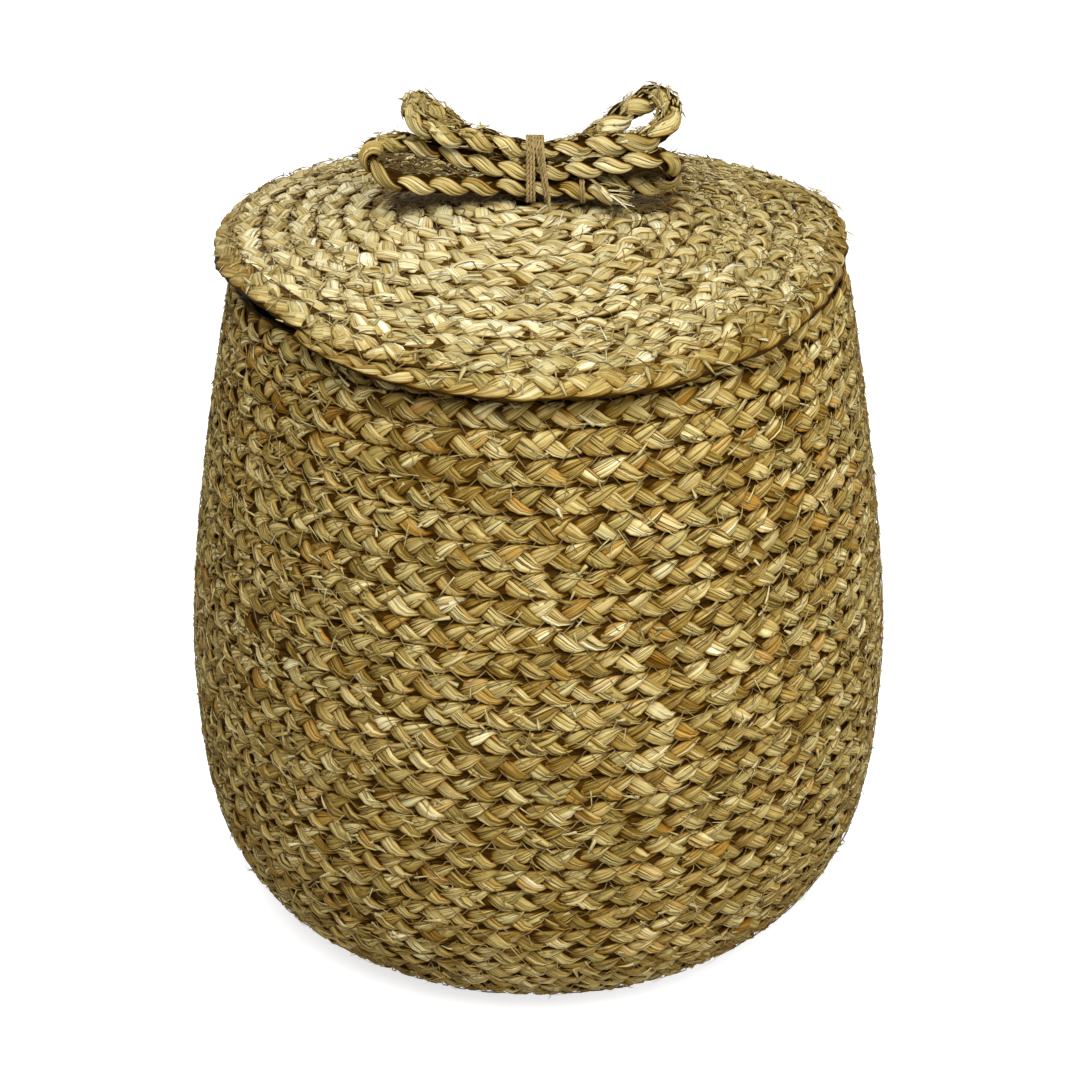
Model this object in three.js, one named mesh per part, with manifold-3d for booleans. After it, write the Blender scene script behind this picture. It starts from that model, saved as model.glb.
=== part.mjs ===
import * as THREE from 'three';
import { mergeVertices } from 'three/addons/utils/BufferGeometryUtils.js';
import Module from 'manifold-3d';

// Coiled basket with a lid: plaited rows sewn edge to edge.
// Millimetres, +Z up, with the origin under the floor's middle.

// Basket
const floorRadius = 72;
const bellyRadius = 180;
const bellyHeight = 144;
const heelSquareness = 3.3;
const mouthRadius = 150;
const mouthSqueeze = 16;
const shoulderPower = 1.4;
const rimHeight = 346;
const rimClimb = 2;
const wallThickness = 8;
const rowWidth = 12.3;
const rowRelief = 1.2;
const heelRows = 13;
const seamGap = 0.3;

// Lid
const lidOverhang = 3;
const lidThickness = 7.5;
const lipWidth = 13.6;
const lidFlatRadius = 17;
const lidRise = 20;
const lidPower = 1.12;
const lipAngle = THREE.MathUtils.degToRad(35);
const lidSaddle = 6;
const lidRoll = 2.5;
const lidPitch = 4;
const lidShift = -4.5;
const lidSeatGap = 0.4;

// Bow on the lid
const ropeDiameter = 10;
const ropeGap = 1.3;
const bowShift = 5;
const bowForward = 8;
const waistHalf = 7.5;
const longLoopLeft = 80;
const longLoopRight = 64;
const shortLoopLeft = 60;
const shortLoopRight = 61;
const shownTail = 36;
const tuckedTail = 9;
const twineDiameter = 1.6;
const twineGap = 0.45;
const twineTurns = 6;
const twineSeat = 0.3;
const needleGap = 0.4;
const knotDiameter = 7;
const knotHeight = 4.5;
const tieDiameter = 1.3;
const tieGap = 0.5;
const tieTurns = 2;
const tiePlace = 0.45;

// Facets
const turnSteps = 36;
const loopSteps = 24;
const tubeSides = 6;

const seagrass = { color: 0xa8925a, roughness: 0.85, metalness: 0 };
const paleSeagrass = { color: 0xbda873, roughness: 0.85, metalness: 0 };
const jute = { color: 0x9a7444, roughness: 0.95, metalness: 0 };

const wasm = await Module();
wasm.setup();

// Welds a closed geometry, drops its flat triangles and turns its faces out
function closedSolid(geometry) {
  geometry.deleteAttribute('normal');
  geometry.deleteAttribute('uv');
  const welded = mergeVertices(geometry, 1e-4);
  const corner = new THREE.Vector3();
  const second = new THREE.Vector3();
  const third = new THREE.Vector3();
  const kept = [];
  let volume = 0;
  for (let i = 0; i < welded.index.count; i += 3) {
    const [a, b, c] = [0, 1, 2].map((k) => welded.index.getX(i + k));
    if (a === b || b === c || c === a) continue;
    kept.push([a, b, c]);
    corner.fromBufferAttribute(welded.attributes.position, a);
    second.fromBufferAttribute(welded.attributes.position, b);
    third.fromBufferAttribute(welded.attributes.position, c);
    volume += corner.dot(second.cross(third));
  }
  welded.setIndex(kept.flatMap(([a, b, c]) => (volume > 0 ? [a, b, c] : [a, c, b])));
  return welded;
}

// Moves every point of a geometry by a rule
function bend(geometry, rule) {
  const position = geometry.attributes.position;
  const point = new THREE.Vector3();
  for (let i = 0; i < position.count; i += 1) {
    rule(point.fromBufferAttribute(position, i));
    position.setXYZ(i, point.x, point.y, point.z);
  }
  return geometry;
}

// Turns a profile of radius and height round the Z axis
function turned(profile) {
  return closedSolid(new THREE.LatheGeometry(profile, turnSteps).rotateX(Math.PI / 2));
}

function manifoldOf(geometry) {
  return new wasm.Manifold(new wasm.Mesh({
    numProp: 3,
    vertProperties: new Float32Array(geometry.attributes.position.array),
    triVerts: new Uint32Array(geometry.index.array),
  }));
}

// Cuts the tools out of a solid
function cut(geometry, tools) {
  let solid = manifoldOf(geometry);
  for (const tool of tools) {
    solid = solid.subtract(manifoldOf(tool));
  }
  const mesh = solid.getMesh();
  const result = new THREE.BufferGeometry();
  result.setAttribute('position', new THREE.BufferAttribute(mesh.vertProperties, 3));
  result.setIndex(Array.from(mesh.triVerts));
  return result;
}

// A tube of flat sides along points, closed by a flat face at each end
function tube(points, radius) {
  const tangents = points.map((point, i) => {
    const before = points[Math.max(i - 1, 0)];
    const after = points[Math.min(i + 1, points.length - 1)];
    return after.clone().sub(before).normalize();
  });
  const side = new THREE.Vector3(0.3, 0.5, 0.8).cross(tangents[0]).normalize();
  const vertices = [];
  const faces = [];
  points.forEach((point, i) => {
    side.addScaledVector(tangents[i], -side.dot(tangents[i])).normalize();
    const up = tangents[i].clone().cross(side);
    for (let k = 0; k < tubeSides; k += 1) {
      const angle = (2 * Math.PI * k) / tubeSides;
      const corner = point.clone().addScaledVector(side, radius * Math.cos(angle));
      corner.addScaledVector(up, radius * Math.sin(angle));
      vertices.push(corner.x, corner.y, corner.z);
    }
  });
  for (let i = 0; i + 1 < points.length; i += 1) {
    for (let k = 0; k < tubeSides; k += 1) {
      const a = i * tubeSides + k;
      const b = i * tubeSides + ((k + 1) % tubeSides);
      faces.push(a, b, b + tubeSides, a, b + tubeSides, a + tubeSides);
    }
  }
  const last = (points.length - 1) * tubeSides;
  for (let k = 1; k + 1 < tubeSides; k += 1) {
    faces.push(0, k + 1, k, last, last + k, last + k + 1);
  }
  const geometry = new THREE.BufferGeometry();
  geometry.setAttribute('position', new THREE.Float32BufferAttribute(vertices, 3));
  geometry.setIndex(faces);
  return closedSolid(geometry);
}

// The least gap of a tube to itself, between places further apart along it than its own bend
function leastSelfGap(points, diameter) {
  const dense = [];
  for (let i = 0; i + 1 < points.length; i += 1) {
    for (let k = 0; k < 4; k += 1) {
      dense.push(points[i].clone().lerp(points[i + 1], k / 4));
    }
  }
  const along = [0];
  for (let i = 1; i < dense.length; i += 1) {
    along.push(along[i - 1] + dense[i].distanceTo(dense[i - 1]));
  }
  let least = Infinity;
  for (let i = 0; i < dense.length; i += 1) {
    for (let j = i + 1; j < dense.length; j += 1) {
      if (along[j] - along[i] < 2.5 * diameter) continue;
      least = Math.min(least, dense[i].distanceTo(dense[j]) - diameter);
    }
  }
  return least;
}

function part(name, geometry, finish) {
  const mesh = new THREE.Mesh(geometry, new THREE.MeshStandardMaterial({ ...finish }));
  mesh.name = name;
  return mesh;
}

// Basket outline from the floor's edge to the rim: a square heel, then a slow curve in to the mouth
function basketOutline() {
  const points = [];
  const steps = 24;
  for (let i = 0; i <= steps; i += 1) {
    const t = (i / steps) * (Math.PI / 2);
    const out = Math.sin(t) ** (2 / heelSquareness);
    const up = 1 - Math.cos(t) ** (2 / heelSquareness);
    points.push(new THREE.Vector2(floorRadius + (bellyRadius - floorRadius) * out, bellyHeight * up));
  }
  for (let i = 1; i <= steps; i += 1) {
    const u = i / steps;
    const radius = bellyRadius - (bellyRadius - mouthRadius) * u ** shoulderPower;
    points.push(new THREE.Vector2(radius, bellyHeight + (rimHeight - bellyHeight) * u));
  }
  const outline = new THREE.SplineCurve(points);
  outline.arcLengthDivisions = 600;
  return outline;
}

const outline = basketOutline();
const outlineLength = outline.getLength();
const rowCount = Math.round(outlineLength / rowWidth);

// A point at a place along the outline, sunk below it by a depth
function outlinePoint(place, depth) {
  const share = THREE.MathUtils.clamp(place, 0, 1);
  const point = outline.getPointAt(share);
  const tangent = outline.getTangentAt(share);
  return new THREE.Vector2(point.x - depth * tangent.y, point.y + depth * tangent.x);
}

// Rows from one count to another: crests and grooves outside, a plain wall inside
function rowBand(first, last) {
  const trim = seamGap / 2 / outlineLength;
  const start = first / rowCount + (first > 0 ? trim : 0);
  const end = last / rowCount - trim;
  const profile = [outlinePoint(start, rowRelief)];
  for (let row = first; row < last; row += 1) {
    profile.push(outlinePoint((row + 0.5) / rowCount, 0));
    if (row + 1 < last) profile.push(outlinePoint((row + 1) / rowCount, rowRelief));
  }
  profile.push(outlinePoint(end, rowRelief));
  for (let row = last; row >= first; row -= 2) {
    const place = THREE.MathUtils.clamp(row / rowCount, start, end);
    profile.push(outlinePoint(place, wallThickness));
  }
  if ((last - first) % 2 === 1) profile.push(outlinePoint(start, wallThickness));
  return profile;
}

// The mouth is pressed in from front and back, more towards the rim, and its right side is higher
function pressMouth(point) {
  const above = Math.max(0, (point.z - bellyHeight) / (rimHeight - bellyHeight));
  point.y *= 1 - (mouthSqueeze / mouthRadius) * above ** 2;
  point.z += rimClimb * (point.x / mouthRadius) * above ** 2;
}

function pressed(profile) {
  return bend(turned(profile), pressMouth);
}

function baseCoil() {
  const axisFoot = new THREE.Vector2(0, 0);
  const axisTop = new THREE.Vector2(0, wallThickness);
  return pressed([axisFoot, new THREE.Vector2(floorRadius, 0), ...rowBand(0, heelRows), axisTop]);
}

function wallCoil() {
  const profile = rowBand(heelRows, rowCount - 1);
  return pressed([...profile, profile[0]]);
}

// The top row, round over its crown
function rimRow() {
  const start = (rowCount - 1) / rowCount + seamGap / 2 / outlineLength;
  const middle = (rowCount - 0.5) / rowCount;
  const shoulder = (rowCount - 0.2) / rowCount;
  const crown = outlinePoint(1, wallThickness / 2);
  const profile = [
    outlinePoint(start, rowRelief),
    outlinePoint(middle, 0),
    outlinePoint(shoulder, rowRelief),
    new THREE.Vector2(crown.x, rimHeight),
    outlinePoint(shoulder, wallThickness - rowRelief),
    outlinePoint(middle, wallThickness),
    outlinePoint(start, wallThickness),
  ];
  return pressed([...profile, profile[0]]);
}

// Lid: how far its top lies below its middle at a radius, out to the turned-down lip
const lidRadius = mouthRadius + lidOverhang;
const lipReach = lipWidth * Math.cos(lipAngle);
const lipDrop = lipWidth * Math.sin(lipAngle);
const lidShoulder = lidRadius - lipReach;

function lidFall(radius) {
  const share = Math.max(0, (radius - lidFlatRadius) / (lidShoulder - lidFlatRadius));
  return lidRise * share ** lidPower;
}

// The lid's sides stand up and its front and back hang, with its left and its back a little higher
function lidWarp(x, y) {
  const saddle = (lidSaddle * (x * x - y * y)) / lidRadius ** 2;
  return saddle - (lidRoll * x) / lidRadius + (lidPitch * y) / lidRadius;
}

function warpLid(point) {
  point.z += lidWarp(point.x, point.y);
}

// Height of the lid's top at a place, from its middle
function lidTop(x, y) {
  return lidWarp(x, y) - lidFall(Math.hypot(x, y));
}

// A point of the lid's top line at a radius, sunk below it by a depth
function lidPoint(radius, depth) {
  const step = 0.5;
  const slope = (lidFall(radius + step) - lidFall(radius)) / step;
  const lean = Math.atan(slope);
  return new THREE.Vector2(radius - depth * Math.sin(lean), -lidFall(radius) - depth * Math.cos(lean));
}

function lidProfile() {
  const rows = Math.round((lidShoulder - lidFlatRadius) / rowWidth);
  const pitch = (lidShoulder - lidFlatRadius) / rows;
  const edge = lidShoulder - seamGap / 2;
  const profile = [new THREE.Vector2(0, -lidThickness), lidPoint(lidFlatRadius, lidThickness)];
  for (let row = 2; row < rows; row += 2) {
    profile.push(lidPoint(lidFlatRadius + row * pitch, lidThickness));
  }
  profile.push(lidPoint(edge, lidThickness), lidPoint(edge, rowRelief));
  for (let row = rows; row > 0; row -= 1) {
    profile.push(lidPoint(lidFlatRadius + (row - 0.5) * pitch, 0));
    profile.push(lidPoint(lidFlatRadius + (row - 1) * pitch, row > 1 ? rowRelief : 0));
  }
  profile.push(new THREE.Vector2(0, 0));
  return profile;
}

// The last row of the lid, turned down as a lip; its outer side runs from the shoulder to the lid's edge
function lipProfile() {
  const along = (share, depth) => new THREE.Vector2(
    lidShoulder + seamGap / 2 + lipReach * share - depth * Math.sin(lipAngle),
    -lidRise - lipDrop * share - depth * Math.cos(lipAngle),
  );
  const inner = lidPoint(lidShoulder + seamGap / 2, lidThickness);
  const top = lidPoint(lidShoulder + seamGap / 2, rowRelief);
  const profile = [
    inner,
    along(0.8, lidThickness),
    along(1.05, lidThickness / 2),
    along(1, 0),
    along(0.5, -rowRelief / 2),
    top,
  ];
  return [...profile, inner];
}

// The shortest way along a direction from a solid's points to another solid
function leastReach(from, to, direction) {
  const target = new THREE.Mesh(to, new THREE.MeshBasicMaterial({ side: THREE.DoubleSide }));
  const position = from.attributes.position;
  const point = new THREE.Vector3();
  const ray = new THREE.Raycaster();
  let least = Infinity;
  for (let i = 0; i < position.count; i += 1) {
    ray.set(point.fromBufferAttribute(position, i), direction);
    const hits = ray.intersectObject(target);
    if (hits.length > 0) least = Math.min(least, hits[0].distance);
  }
  return least;
}

// The lid comes down from well above until its underside or its lip nearly meets the rim
function lidRestHeight(lidSolids, rim) {
  const start = 2 * rimHeight;
  const up = new THREE.Vector3(0, 0, 1);
  const down = new THREE.Vector3(0, 0, -1);
  const drops = lidSolids.flatMap((solid) => {
    const raised = solid.clone().translate(lidShift, 0, start);
    return [leastReach(rim, raised, up), leastReach(raised, rim, down)];
  });
  return start - Math.min(...drops) + lidSeatGap;
}

// Bow: five runs of one plait packed at the waist, three in front and two behind
const ropeRadius = ropeDiameter / 2;
const slotStep = ropeDiameter + ropeGap;
const slotDepth = (slotStep * Math.sqrt(3)) / 4;
const slots = {
  frontLow: [-slotDepth, -slotStep],
  frontMiddle: [-slotDepth, 0],
  frontTop: [-slotDepth, slotStep],
  backLow: [slotDepth, -slotStep / 2],
  backTop: [slotDepth, slotStep / 2],
};

// Each loop leaves one slot and comes back to the next. Its reach is along X. How its eye opens and its end
// bends away are in plait diameters, depth first and then height.
const bowLoops = [
  {
    side: -1, reach: longLoopLeft, from: slots.frontLow, to: slots.frontMiddle,
    eye: [-0.9, -0.55], end: [-0.2, 0.7],
  },
  {
    side: 1, reach: longLoopRight, from: slots.frontMiddle, to: slots.backLow,
    eye: [-0.7, 0.7], end: [-0.3, -0.6],
  },
  {
    side: -1, reach: shortLoopLeft, from: slots.backLow, to: slots.frontTop,
    eye: [0.9, 0.5], end: [0.5, 2.5],
  },
  {
    side: 1, reach: shortLoopRight, from: slots.frontTop, to: slots.backTop,
    eye: [-0.8, -0.4], end: [0.1, 1.9],
  },
];
const tails = {
  shown: { side: 1, reach: shownTail, from: slots.frontLow, end: [-0.7, -0.5] },
  tucked: { side: -1, reach: tuckedTail, from: slots.backTop, end: [0, 0.1] },
};

function loopPoint(loop, t) {
  const out = Math.sin(Math.PI * t);
  const swell = 1.3 * out * Math.sin(2 * Math.PI * t);
  const across = THREE.MathUtils.smoothstep(t, 0, 1);
  const place = (k) => THREE.MathUtils.lerp(loop.from[k], loop.to[k], across)
    + ropeDiameter * (loop.eye[k] * swell + loop.end[k] * out ** 1.2);
  return new THREE.Vector3(loop.side * (waistHalf + (loop.reach - waistHalf) * out), place(0), place(1));
}

function tailPoint(tail, t) {
  const place = (k) => tail.from[k] + ropeDiameter * tail.end[k] * t * t;
  return new THREE.Vector3(tail.side * (waistHalf + (tail.reach - waistHalf) * t), place(0), place(1));
}

function bowPath() {
  const tailSteps = 5;
  const points = [];
  for (let i = tailSteps; i >= 0; i -= 1) {
    points.push(tailPoint(tails.shown, i / tailSteps));
  }
  for (const loop of bowLoops) {
    for (let i = 0; i <= loopSteps; i += 1) {
      points.push(loopPoint(loop, i / loopSteps));
    }
  }
  for (let i = 0; i <= tailSteps; i += 1) {
    points.push(tailPoint(tails.tucked, i / tailSteps));
  }
  return points;
}

// The outermost line round the waist's runs, at a distance from their middles, where it faces an angle
function waistLine(angle, distance) {
  const facing = [Math.cos(angle), Math.sin(angle)];
  const reachOf = (slot) => slot[0] * facing[0] + slot[1] * facing[1];
  const further = (best, slot) => (reachOf(slot) > reachOf(best) + 1e-9 ? slot : best);
  const outer = Object.values(slots).reduce(further);
  return [outer[0] + distance * facing[0], outer[1] + distance * facing[1]];
}

const twinePitch = twineDiameter + twineGap;
const twineDistance = ropeRadius + twineSeat + twineDiameter / 2;
const bindingFoot = slotStep + twineDistance + twineDiameter / 2;
const bindingHalf = (twineTurns * twinePitch) / 2;

// Height of the bow's middle above the lid's middle: its binding sits on the highest lid under it
function bowHeight() {
  const reach = bindingHalf + twineDiameter;
  const depth = slotDepth + twineDistance;
  const places = [-reach, 0, reach].flatMap((x) => [-depth, 0, depth].map((y) => [x, y]));
  const highest = Math.max(...places.map(([x, y]) => lidTop(bowShift + x, y - bowForward)));
  return highest + twineSeat + bindingFoot;
}

const bowMiddle = bowHeight();

// The twine rises through the lid behind the waist, winds round it, and goes down through the lid in front
function bindingPath() {
  const turns = twineTurns - 0.5;
  const steps = Math.round(turns * loopSteps);
  const winding = [];
  for (let i = 0; i <= steps; i += 1) {
    const [y, z] = waistLine((i / loopSteps) * 2 * Math.PI, twineDistance);
    winding.push(new THREE.Vector3(bindingHalf * ((2 * i) / steps - 1), y, z));
  }
  const first = winding[0];
  const last = winding[winding.length - 1];
  const footOf = (point) => new THREE.Vector3(point.x, point.y, legFoot(point));
  return [footOf(first), ...winding, footOf(last)];
}

// A leg of the binding ends on its knot, just under the lid
function legFoot(point) {
  return lidTop(bowShift + point.x, point.y - bowForward) - lidThickness - 2 * twineSeat - bowMiddle;
}

// A rounded stopper knot with a flat top, hanging on a leg of the binding
function stopperKnot(foot) {
  const wide = knotDiameter / 2;
  const profile = [
    [0, -knotHeight], [wide * 0.6, -knotHeight * 0.9], [wide, -knotHeight * 0.5], [wide * 0.75, 0], [0, 0],
  ].map(([radius, height]) => new THREE.Vector2(radius, height));
  const geometry = new THREE.LatheGeometry(profile, 12).rotateX(Math.PI / 2);
  return closedSolid(geometry).translate(foot.x, foot.y, foot.z - twineSeat);
}

// Thread tied round the shown tail, square to it
function tiePath() {
  const step = 0.05;
  const middle = tailPoint(tails.shown, tiePlace);
  const before = tailPoint(tails.shown, tiePlace - step);
  const ahead = tailPoint(tails.shown, tiePlace + step).sub(before).normalize();
  const side = new THREE.Vector3(0, 1, 0).cross(ahead).normalize();
  const up = ahead.clone().cross(side);
  const radius = ropeRadius + twineSeat + tieDiameter / 2;
  const pitch = tieDiameter + tieGap;
  const steps = tieTurns * loopSteps;
  const points = [];
  for (let i = 0; i <= steps; i += 1) {
    const angle = (i / loopSteps) * 2 * Math.PI;
    const point = middle.clone().addScaledVector(ahead, pitch * tieTurns * (i / steps - 0.5));
    point.addScaledVector(side, radius * Math.cos(angle)).addScaledVector(up, radius * Math.sin(angle));
    points.push(point);
  }
  return points;
}

const bowPoints = bowPath();
const bindingPoints = bindingPath();
const tiePoints = tiePath();
console.log('least gap of bow rope to itself', leastSelfGap(bowPoints, ropeDiameter).toFixed(2));
console.log('least gap of binding to itself', leastSelfGap(bindingPoints, twineDiameter).toFixed(2));
console.log('least gap of tail tie to itself', leastSelfGap(tiePoints, tieDiameter).toFixed(2));

// Needle holes through the lid for the binding's two legs
function needleHole(leg) {
  const depth = 4 * lidThickness;
  const hole = new THREE.CylinderGeometry(1, 1, depth, 12).rotateX(Math.PI / 2);
  const radius = twineDiameter / 2 + needleGap;
  return closedSolid(hole.scale(radius, radius, 1).translate(bowShift + leg.x, leg.y - bowForward, 0));
}

const legs = [bindingPoints[0], bindingPoints[bindingPoints.length - 1]];
const lidSolid = cut(bend(turned(lidProfile()), warpLid), legs.map(needleHole));
const lipSolid = bend(turned(lipProfile()), warpLid);
const rimSolid = rimRow();

const bow = new THREE.Group();
bow.position.set(bowShift, -bowForward, bowMiddle);
bow.add(part('bow_rope', tube(bowPoints, ropeRadius), seagrass));
bow.add(part('bow_binding', tube(bindingPoints, twineDiameter / 2), jute));
bow.add(part('tail_tie', tube(tiePoints, tieDiameter / 2), jute));
legs.forEach((leg, i) => bow.add(part(`binding_knot_${i + 1}`, stopperKnot(leg), jute)));

const lid = new THREE.Group();
lid.position.set(lidShift, 0, lidRestHeight([lidSolid, lipSolid], rimSolid));
lid.add(part('lid_coil', lidSolid, paleSeagrass), part('lid_lip_row', lipSolid, paleSeagrass), bow);

const basket = new THREE.Group();
basket.add(part('base_coil', baseCoil(), seagrass));
basket.add(part('wall_coil', wallCoil(), seagrass));
basket.add(part('rim_row', rimSolid, seagrass));

const model = new THREE.Group();
model.add(basket, lid);

export default model;
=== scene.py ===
import math
from functools import partial
from types import SimpleNamespace

import bpy
import mathutils
import numpy as np
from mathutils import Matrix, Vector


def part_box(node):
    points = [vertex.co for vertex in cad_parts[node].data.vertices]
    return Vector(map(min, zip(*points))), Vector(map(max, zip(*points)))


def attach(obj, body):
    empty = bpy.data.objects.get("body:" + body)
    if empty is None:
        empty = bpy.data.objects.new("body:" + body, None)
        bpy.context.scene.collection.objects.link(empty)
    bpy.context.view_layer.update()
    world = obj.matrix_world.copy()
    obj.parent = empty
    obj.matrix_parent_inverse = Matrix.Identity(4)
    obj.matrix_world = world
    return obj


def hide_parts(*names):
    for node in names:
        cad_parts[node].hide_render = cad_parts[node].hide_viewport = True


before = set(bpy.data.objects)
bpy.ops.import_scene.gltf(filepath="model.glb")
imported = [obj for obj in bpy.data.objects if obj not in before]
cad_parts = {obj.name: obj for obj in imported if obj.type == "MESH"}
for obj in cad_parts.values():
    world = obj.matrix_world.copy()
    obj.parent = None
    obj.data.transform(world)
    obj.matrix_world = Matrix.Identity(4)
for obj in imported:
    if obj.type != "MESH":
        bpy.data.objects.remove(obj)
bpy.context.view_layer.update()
scene = bpy.context.scene
mm = 0.001
fullTurn = 2 * math.pi
upward = (0.0, 0.0, 1.0)


# noise and mesh helpers

def drift(seed, walk, step):
    # value noise: a random value from -1 to 1 at every step of the walk, eased from each one to the next
    cells = np.asarray(walk) / step
    base = np.floor(cells).astype(int)
    low = base.min()
    values = np.random.default_rng(seed).uniform(-1, 1, base.max() - low + 2)
    share = cells - base
    ease = share * share * (3 - 2 * share)
    return values[base - low] * (1 - ease) + values[base - low + 1] * ease


def vary(kind, seed, walk):
    # a drift of its own kind: number added to the seed, amount and step
    number, amount, step = kind
    return amount * drift(seed + number, walk, step)


def eased(value, low, high):
    # smooth step from 0 at low to 1 at high
    share = np.clip((value - low) / (high - low), 0, 1)
    return share * share * (3 - 2 * share)


def bell(angle, middle, tightness):
    # 1 where the angle is the middle one, falling off to both sides as the exponential of its cosine
    return np.exp(tightness * (np.cos(angle - middle) - 1))


def unit(vectors):
    # each vector divided by its length
    return vectors / np.maximum(np.linalg.norm(vectors, axis=-1, keepdims=True), 1e-12)


def roundSection(radius, corners):
    # a circle's points: the cosine of each corner's angle sideways, its sine upright
    angle = fullTurn * np.arange(corners) / corners
    return -radius * np.cos(angle), radius * np.sin(angle)


def tubeFaces(number, count, around):
    # for a number of tubes of count rings: quads between neighbouring rings, and a face on each end
    first = (np.arange(number) * count * around)[:, None, None]
    ring = first + (np.arange(count - 1) * around)[None, :, None]
    j = np.arange(around)
    k = (j + 1) % around
    quads = np.stack([ring + j, ring + k, ring + around + k, ring + around + j], axis=-1).reshape(-1, 4)
    return quads, np.concatenate([first[:, 0] + j[::-1], first[:, 0] + (count - 1) * around + j])


def sweep(centre, upHint, sectionX, sectionZ, walk, tone, age, sunk):
    # a profile carried along a path: each point is the path's point plus x times the side vector
    # (path direction crossed with the hint) plus z times the upright vector
    count, around = sectionX.shape
    along = unit(np.gradient(centre, axis=0))
    side = unit(np.cross(along, upHint))
    upright = np.cross(side, along)
    points = centre[:, None] + sectionX[..., None] * side[:, None] + sectionZ[..., None] * upright[:, None]
    quads, caps = tubeFaces(1, count, around)
    return SimpleNamespace(
        points=points.reshape(-1, 3), quads=quads, caps=caps, count=count, around=around, walk=walk,
        tone=np.broadcast_to(tone, (count - 1, around)), age=np.broadcast_to(age, (count - 1, around)),
        sunk=np.broadcast_to(sunk, (count, around)))


blade = SimpleNamespace(steps=5, narrowing=0.8, flatness=0.3, age=0.6, patternStep=0.07)


def bladeBundle(root, heading, rising, length, width, curl, tone):
    # many loose flat blades at once: each runs from its root along its heading, bends by its curl times the
    # square of the way along, and narrows to its tip; a blade's section is a thin rhombus
    number, steps = len(root), blade.steps
    heading = unit(heading)
    side = unit(np.cross(heading, rising))
    rising = np.cross(side, heading)
    t = np.linspace(0, 1, steps)[None, :, None]
    length, width, curl = (value[:, None, None] for value in (length, width, curl))
    centre = root[:, None] + heading[:, None] * length * t + rising[:, None] * length * curl * t * t
    half = width / 2 * (1 - blade.narrowing * t ** 1.5)
    sideways, upwards = side[:, None] * half, rising[:, None] * half * blade.flatness
    points = np.stack([centre - sideways, centre + upwards, centre + sideways, centre - upwards], axis=2)
    quads, caps = tubeFaces(number, steps, 4)
    spans = number * (steps - 1)
    return SimpleNamespace(
        points=points.reshape(-1, 3), quads=quads, caps=caps, count=spans + 1, around=4,
        walk=np.arange(spans + 1) * blade.patternStep, tone=np.repeat(tone, 4 * (steps - 1)).reshape(spans, 4),
        age=np.full((spans, 4), blade.age), sunk=np.zeros(number * steps * 4))


def looseBlades(random, root, heading, rising, length, width, curl, tone, spread="uniform"):
    # blades with drawn lengths and widths, in mm, curls and tones, all between two limits; the curls can be
    # spread normally instead
    kinds = ("uniform", "uniform", spread, "uniform")
    draws = [getattr(random, kind)(*limits, len(root))
             for kind, limits in zip(kinds, (length, width, curl, tone))]
    return bladeBundle(root, heading, rising, draws[0] * mm, draws[1] * mm, *draws[2:])


def faceCorners(left, right, low, high):
    # the four corners of every face in a layout, in the order of its quad
    corners = [np.broadcast_arrays(*corner) for corner in ((left, low), (left, high), (right, high), (right, low))]
    return np.stack([np.stack(corner, axis=-1) for corner in corners], axis=2).reshape(-1, 2)


def bakeLayout(sweeps):
    # the tubes' skins laid in strips under each other in the unit square, each strip as long as the square
    spans = sum(s.count - 1 for s in sweeps)
    around = max(s.around for s in sweeps)
    perStrip = max(8, int(math.sqrt(spans * around) * 0.9))
    strips = [(s.count - 2) // perStrip + 1 for s in sweeps]
    total = sum(strips)
    first = 0
    laid = []
    margin, height = 0.04, 0.92
    for s, used in zip(sweeps, strips):
        i = np.arange(s.count - 1)[:, None]
        j = np.arange(s.around)[None]
        left = (i % perStrip) / perStrip
        strip = first + i // perStrip
        low = (strip + margin + height * j / s.around) / total
        high = (strip + margin + height * (j + 1) / s.around) / total
        laid.append(faceCorners(left, left + 1 / perStrip, low, high))
        first += used
    return laid


def strandLayout(s):
    # the pattern's own coordinates: the walk along the strand and the share of the way round it
    walk = s.walk[:, None]
    low = np.arange(s.around)[None] / s.around
    return faceCorners(walk[:-1], walk[1:], low, low + 1 / s.around)


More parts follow.
